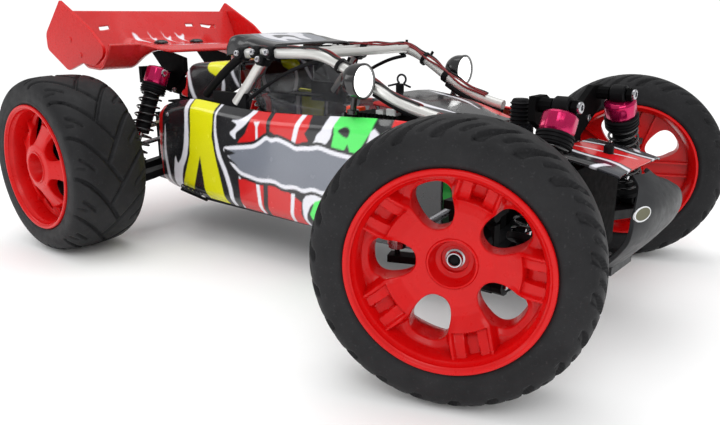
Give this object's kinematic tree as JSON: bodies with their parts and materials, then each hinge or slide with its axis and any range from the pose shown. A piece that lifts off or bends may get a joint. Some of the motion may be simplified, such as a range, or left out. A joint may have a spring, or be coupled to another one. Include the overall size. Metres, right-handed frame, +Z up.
{
  "type": "radio controlled buggy",
  "caption": "Radio controlled desert buggy with a tube cage, printed side panels, a rear wing, independent coil suspension and steered front wheels",
  "frame": {"origin": "on the ground under the middle of the overall length and width, with the front wheels at the resting lock", "axes": "+X the way it drives, +Y its left side, +Z up"},
  "size_m": [0.43, 0.2876, 0.157],
  "materials": {
    "tyre": "matt moulded rubber with a directional tread",
    "red_plastic": "glossy moulded red plastic",
    "wing_plastic": "glossy red moulded plastic, slightly translucent",
    "spring_steel": "black coated spring wire",
    "steel": "bright steel",
    "silver_tube": "silver painted tube",
    "printed_shell": "clear gloss over a printed pattern of red, black, white, yellow and green",
    "dark_aluminium": "dark anodised plate",
    "motor_can": "plain steel can",
    "battery_wrap": "blue shrink wrap",
    "lamp_plastic": "black lamp shell",
    "black_plastic": "satin black moulded plastic",
    "lamp_lens": "white lit lens",
    "pink_anodised": "pink anodised aluminium cap",
    "wire_insulation": "dark red and black wire insulation"
  },
  "bodies": {
    "chassis": {"chassis_plate": "dark_aluminium", "front_bumper": "black_plastic", "front_bulkhead": "black_plastic", "rear_gear_case": "black_plastic", "battery_pack": "battery_wrap", "motor": "motor_can", "steering_servo": "black_plastic", "control_box": "black_plastic", "roll_cage": "silver_tube", "side_panel_left": "printed_shell", "side_panel_right": "printed_shell", "front_deck": "printed_shell", "nose_panel": "printed_shell", "roof_panel": "printed_shell", "rear_cover": "printed_shell", "rear_wing": "wing_plastic", "spot_lamp_left": "lamp_plastic", "spot_lamp_right": "lamp_plastic"},
    "servo_horn": {"servo_horn": "black_plastic"},
    "steering_link": {"steering_link": "black_plastic"},
    "front_left_lower_arm": {"front_left_lower_arm": "black_plastic"},
    "front_left_upper_arm": {"front_left_upper_arm": "black_plastic"},
    "front_left_caster_block": {"front_left_caster_block": "black_plastic"},
    "front_left_shock_body": {"front_left_shock_body": "black_plastic", "front_left_spring": "spring_steel"},
    "front_left_shock_rod": {"front_left_shock_rod": "steel"},
    "front_left_wheel": {"front_left_wheel_rim": "red_plastic", "front_left_tyre": "tyre"},
    "front_left_steering_knuckle": {"front_left_steering_knuckle": "black_plastic"},
    "front_left_tie_rod": {"front_left_tie_rod": "steel"},
    "front_right_lower_arm": {"front_right_lower_arm": "black_plastic"},
    "front_right_upper_arm": {"front_right_upper_arm": "black_plastic"},
    "front_right_caster_block": {"front_right_caster_block": "black_plastic"},
    "front_right_shock_body": {"front_right_shock_body": "black_plastic", "front_right_spring": "spring_steel"},
    "front_right_shock_rod": {"front_right_shock_rod": "steel"},
    "front_right_wheel": {"front_right_wheel_rim": "red_plastic", "front_right_tyre": "tyre"},
    "front_right_steering_knuckle": {"front_right_steering_knuckle": "black_plastic"},
    "front_right_tie_rod": {"front_right_tie_rod": "steel"},
    "rear_left_lower_arm": {"rear_left_lower_arm": "black_plastic"},
    "rear_left_upper_link": {"rear_left_upper_link": "steel"},
    "rear_left_hub_carrier": {"rear_left_hub_carrier": "black_plastic"},
    "rear_left_shock_body": {"rear_left_shock_body": "black_plastic", "rear_left_spring": "spring_steel"},
    "rear_left_shock_rod": {"rear_left_shock_rod": "steel"},
    "rear_left_wheel": {"rear_left_wheel_rim": "red_plastic", "rear_left_tyre": "tyre"},
    "rear_left_drive_shaft": {"rear_left_drive_shaft": "steel"},
    "rear_right_lower_arm": {"rear_right_lower_arm": "black_plastic"},
    "rear_right_upper_link": {"rear_right_upper_link": "steel"},
    "rear_right_hub_carrier": {"rear_right_hub_carrier": "black_plastic"},
    "rear_right_shock_body": {"rear_right_shock_body": "black_plastic", "rear_right_spring": "spring_steel"},
    "rear_right_shock_rod": {"rear_right_shock_rod": "steel"},
    "rear_right_wheel": {"rear_right_wheel_rim": "red_plastic", "rear_right_tyre": "tyre"},
    "rear_right_drive_shaft": {"rear_right_drive_shaft": "steel"}
  },
  "joints": [
    {"name": "front_left_suspension", "type": "hinge", "parent": "chassis", "child": "front_left_lower_arm", "pos_m": [0.1527, 0.022, 0.045], "axis": [1, 0, 0], "range_deg": [0, 18], "stiffness_Nm_per_rad": 2, "springref_deg": -17.19},
    {"name": "front_left_upper_arm_lift", "type": "hinge", "parent": "chassis", "child": "front_left_upper_arm", "pos_m": [0.1527, 0.022, 0.075], "axis": [1, 0, 0], "range_deg": [-0.5, 18.5]},
    {"name": "front_left_hub_level", "type": "hinge", "parent": "front_left_lower_arm", "child": "front_left_caster_block", "pos_m": [0.1527, 0.08, 0.038], "axis": [1, 0, 0], "range_deg": [-18.5, 0.5]},
    {"name": "front_left_shock_body_swing", "type": "hinge", "parent": "chassis", "child": "front_left_shock_body", "pos_m": [0.1652, 0.0335, 0.108], "axis": [1, 0, 0], "range_deg": [-0.5, 5]},
    {"name": "front_left_shock_rod_swing", "type": "hinge", "parent": "front_left_lower_arm", "child": "front_left_shock_rod", "pos_m": [0.1652, 0.065, 0.04681], "axis": [1, 0, 0], "range_deg": [-16, 0.5], "deforming": ["front_left_spring"]},
    {"name": "front_left_steer", "type": "hinge", "parent": "front_left_caster_block", "child": "front_left_steering_knuckle", "pos_m": [0.1527, 0.0935, 0.056], "axis": [0, 0, 1], "range_deg": [-44, 0]},
    {"name": "front_left_wheel_spin", "type": "hinge", "parent": "front_left_steering_knuckle", "child": "front_left_wheel", "pos_m": [0.1527, 0.0935, 0.056], "axis": [-0.3746, 0.9272, 0], "continuous": true},
    {"name": "front_left_tie_rod_lift", "type": "hinge", "parent": "steering_link", "child": "front_left_tie_rod", "pos_m": [0.12767, 0.02539, 0.063], "axis": [1, 0, 0], "range_deg": [-0.5, 18.5]},
    {"name": "front_right_suspension", "type": "hinge", "parent": "chassis", "child": "front_right_lower_arm", "pos_m": [0.1527, -0.022, 0.045], "axis": [-1, 0, 0], "range_deg": [0, 18], "stiffness_Nm_per_rad": 2, "springref_deg": -17.19},
    {"name": "front_right_upper_arm_lift", "type": "hinge", "parent": "chassis", "child": "front_right_upper_arm", "pos_m": [0.1527, -0.022, 0.075], "axis": [-1, 0, 0], "range_deg": [-0.5, 18.5]},
    {"name": "front_right_hub_level", "type": "hinge", "parent": "front_right_lower_arm", "child": "front_right_caster_block", "pos_m": [0.1527, -0.08, 0.038], "axis": [-1, 0, 0], "range_deg": [-18.5, 0.5]},
    {"name": "front_right_shock_body_swing", "type": "hinge", "parent": "chassis", "child": "front_right_shock_body", "pos_m": [0.1652, -0.0335, 0.108], "axis": [-1, 0, 0], "range_deg": [-0.5, 5]},
    {"name": "front_right_shock_rod_swing", "type": "hinge", "parent": "front_right_lower_arm", "child": "front_right_shock_rod", "pos_m": [0.1652, -0.065, 0.04681], "axis": [-1, 0, 0], "range_deg": [-16, 0.5], "deforming": ["front_right_spring"]},
    {"name": "front_right_steer", "type": "hinge", "parent": "front_right_caster_block", "child": "front_right_steering_knuckle", "pos_m": [0.1527, -0.0935, 0.056], "axis": [0, 0, 1], "range_deg": [-45, 1]},
    {"name": "front_right_wheel_spin", "type": "hinge", "parent": "front_right_steering_knuckle", "child": "front_right_wheel", "pos_m": [0.1527, -0.0935, 0.056], "axis": [-0.3746, 0.9272, 0], "continuous": true},
    {"name": "front_right_tie_rod_lift", "type": "hinge", "parent": "steering_link", "child": "front_right_tie_rod", "pos_m": [0.12767, -0.04561, 0.063], "axis": [-1, 0, 0], "range_deg": [-0.5, 18.5]},
    {"name": "rear_left_suspension", "type": "hinge", "parent": "chassis", "child": "rear_left_lower_arm", "pos_m": [-0.1383, 0.022, 0.045], "axis": [1, 0, 0], "range_deg": [0, 18], "stiffness_Nm_per_rad": 2, "springref_deg": -17.19},
    {"name": "rear_left_upper_link_lift", "type": "hinge", "parent": "chassis", "child": "rear_left_upper_link", "pos_m": [-0.1403, 0.022, 0.075], "axis": [1, 0, 0], "range_deg": [-0.5, 18.5]},
    {"name": "rear_left_hub_level", "type": "hinge", "parent": "rear_left_lower_arm", "child": "rear_left_hub_carrier", "pos_m": [-0.1383, 0.08, 0.038], "axis": [1, 0, 0], "range_deg": [-18.5, 0.5]},
    {"name": "rear_left_shock_body_swing", "type": "hinge", "parent": "chassis", "child": "rear_left_shock_body", "pos_m": [-0.1268, 0.042, 0.11], "axis": [1, 0, 0], "range_deg": [-0.5, 5]},
    {"name": "rear_left_shock_rod_swing", "type": "hinge", "parent": "rear_left_lower_arm", "child": "rear_left_shock_rod", "pos_m": [-0.1268, 0.07, 0.04621], "axis": [1, 0, 0], "range_deg": [-16, 0.5], "deforming": ["rear_left_spring"]},
    {"name": "rear_left_drive_shaft_lift", "type": "hinge", "parent": "chassis", "child": "rear_left_drive_shaft", "pos_m": [-0.1383, 0.032, 0.063], "axis": [1, 0, 0], "range_deg": [-0.5, 18.5]},
    {"name": "rear_left_wheel_spin", "type": "hinge", "parent": "rear_left_hub_carrier", "child": "rear_left_wheel", "pos_m": [-0.1383, 0.09, 0.056], "axis": [0, 1, 0], "continuous": true},
    {"name": "rear_right_suspension", "type": "hinge", "parent": "chassis", "child": "rear_right_lower_arm", "pos_m": [-0.1383, -0.022, 0.045], "axis": [-1, 0, 0], "range_deg": [0, 18], "stiffness_Nm_per_rad": 2, "springref_deg": -17.19},
    {"name": "rear_right_upper_link_lift", "type": "hinge", "parent": "chassis", "child": "rear_right_upper_link", "pos_m": [-0.1403, -0.022, 0.075], "axis": [-1, 0, 0], "range_deg": [-0.5, 18.5]},
    {"name": "rear_right_hub_level", "type": "hinge", "parent": "rear_right_lower_arm", "child": "rear_right_hub_carrier", "pos_m": [-0.1383, -0.08, 0.038], "axis": [-1, 0, 0], "range_deg": [-18.5, 0.5]},
    {"name": "rear_right_shock_body_swing", "type": "hinge", "parent": "chassis", "child": "rear_right_shock_body", "pos_m": [-0.1268, -0.042, 0.11], "axis": [-1, 0, 0], "range_deg": [-0.5, 5]},
    {"name": "rear_right_shock_rod_swing", "type": "hinge", "parent": "rear_right_lower_arm", "child": "rear_right_shock_rod", "pos_m": [-0.1268, -0.07, 0.04621], "axis": [-1, 0, 0], "range_deg": [-16, 0.5], "deforming": ["rear_right_spring"]},
    {"name": "rear_right_drive_shaft_lift", "type": "hinge", "parent": "chassis", "child": "rear_right_drive_shaft", "pos_m": [-0.1383, -0.032, 0.063], "axis": [-1, 0, 0], "range_deg": [-0.5, 18.5]},
    {"name": "rear_right_wheel_spin", "type": "hinge", "parent": "rear_right_hub_carrier", "child": "rear_right_wheel", "pos_m": [-0.1383, -0.09, 0.056], "axis": [0, 1, 0], "continuous": true},
    {"name": "servo_horn_turn", "type": "hinge", "parent": "chassis", "child": "servo_horn", "pos_m": [0.1207, 0.016, 0.0605], "axis": [0, 0, 1], "range_deg": [-45, 1]},
    {"name": "steering_link_swing", "type": "hinge", "parent": "servo_horn", "child": "steering_link", "pos_m": [0.09567, 0.00589, 0.067], "axis": [0, 0, 1], "range_deg": [-1, 45]}
  ],
  "couplings": [
    {"joint": "front_left_upper_arm_lift", "follows": "front_left_suspension", "ratio": 1},
    {"joint": "front_left_hub_level", "follows": "front_left_suspension", "ratio": -1},
    {"joint": "front_left_shock_body_swing", "follows": "front_left_suspension", "ratio": 0.22},
    {"joint": "front_left_shock_rod_swing", "follows": "front_left_suspension", "ratio": -0.78},
    {"joint": "front_left_tie_rod_lift", "follows": "front_left_suspension", "ratio": 1},
    {"joint": "front_right_upper_arm_lift", "follows": "front_right_suspension", "ratio": 1},
    {"joint": "front_right_hub_level", "follows": "front_right_suspension", "ratio": -1},
    {"joint": "front_right_shock_body_swing", "follows": "front_right_suspension", "ratio": 0.22},
    {"joint": "front_right_shock_rod_swing", "follows": "front_right_suspension", "ratio": -0.78},
    {"joint": "front_right_steer", "follows": "front_left_steer", "ratio": 1},
    {"joint": "front_right_tie_rod_lift", "follows": "front_right_suspension", "ratio": 1},
    {"joint": "rear_left_upper_link_lift", "follows": "rear_left_suspension", "ratio": 1},
    {"joint": "rear_left_hub_level", "follows": "rear_left_suspension", "ratio": -1},
    {"joint": "rear_left_shock_body_swing", "follows": "rear_left_suspension", "ratio": 0.212},
    {"joint": "rear_left_shock_rod_swing", "follows": "rear_left_suspension", "ratio": -0.788},
    {"joint": "rear_left_drive_shaft_lift", "follows": "rear_left_suspension", "ratio": 1},
    {"joint": "rear_right_upper_link_lift", "follows": "rear_right_suspension", "ratio": 1},
    {"joint": "rear_right_hub_level", "follows": "rear_right_suspension", "ratio": -1},
    {"joint": "rear_right_shock_body_swing", "follows": "rear_right_suspension", "ratio": 0.212},
    {"joint": "rear_right_shock_rod_swing", "follows": "rear_right_suspension", "ratio": -0.788},
    {"joint": "rear_right_drive_shaft_lift", "follows": "rear_right_suspension", "ratio": 1},
    {"joint": "servo_horn_turn", "follows": "front_left_steer", "ratio": 1},
    {"joint": "steering_link_swing", "follows": "front_left_steer", "ratio": -1}
  ]
}
